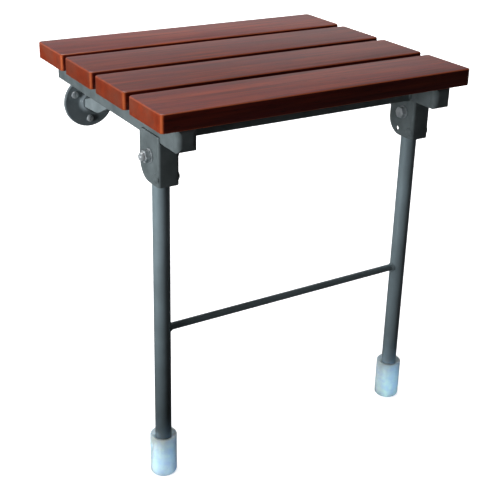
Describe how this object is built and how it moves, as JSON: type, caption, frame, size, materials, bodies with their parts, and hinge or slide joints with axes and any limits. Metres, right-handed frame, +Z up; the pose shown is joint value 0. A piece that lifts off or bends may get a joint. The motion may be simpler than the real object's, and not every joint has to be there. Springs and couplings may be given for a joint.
{
  "type": "wall-mounted folding shower seat",
  "caption": "Wall-mounted shower seat of wooden slats on a metal frame that folds up on two wall hinges, with swing-down legs joined by a cross bar.",
  "frame": {"origin": "on the wall plane, midway between the centres of the two wall flanges; the floor is 386 mm below", "axes": "+X to the right across the seat, +Y into the wall so that the front of the seat is at -Y, +Z up"},
  "size_m": [0.42, 0.425, 0.49],
  "materials": {
    "hardwood": "satin varnish, reddish brown",
    "satin_steel": "satin grey coating",
    "dark_steel": "dark charcoal coating",
    "bright_steel": "bright",
    "foot_plastic": "pale bluish white",
    "black_plastic": "black"
  },
  "bodies": {
    "wall": {"left_wall_flange": "dark_steel", "right_wall_flange": "dark_steel", "left_hinge_arm": "satin_steel", "right_hinge_arm": "satin_steel", "left_wall_screws": "bright_steel", "right_wall_screws": "bright_steel"},
    "seat": {"rear_slat": "hardwood", "mid_rear_slat": "hardwood", "mid_front_slat": "hardwood", "front_slat": "hardwood", "left_side_rail": "satin_steel", "right_side_rail": "satin_steel", "front_cross_rail": "satin_steel", "rear_cross_rail": "satin_steel", "left_rail_front_cap": "satin_steel", "right_rail_front_cap": "satin_steel", "left_rail_rear_plug": "black_plastic", "right_rail_rear_plug": "black_plastic", "slat_screws": "bright_steel", "left_leg_bracket": "satin_steel", "right_leg_bracket": "satin_steel", "stop_rivets": "bright_steel", "leg_pivot_bolts": "bright_steel", "leg_dome_nuts": "bright_steel", "leg_pivot_washers": "bright_steel", "left_hinge_lugs": "satin_steel", "right_hinge_lugs": "satin_steel", "hinge_bolts": "bright_steel", "hinge_nuts": "bright_steel", "hinge_washers": "black_plastic"},
    "leg_frame": {"left_leg_tube": "satin_steel", "right_leg_tube": "satin_steel", "leg_cross_bar": "satin_steel", "left_foot": "foot_plastic", "right_foot": "foot_plastic", "leg_top_plugs": "black_plastic", "leg_pivot_sleeves": "satin_steel"}
  },
  "joints": [
    {"name": "seat_fold", "type": "hinge", "parent": "wall", "child": "seat", "pos_m": [0, -0.078, 0.054], "axis": [-1, 0, 0], "range_deg": [0, 90]},
    {"name": "leg_swing", "type": "hinge", "parent": "seat", "child": "leg_frame", "pos_m": [0, -0.337, 0.037], "axis": [1, 0, 0], "range_deg": [0, 90]}
  ]
}
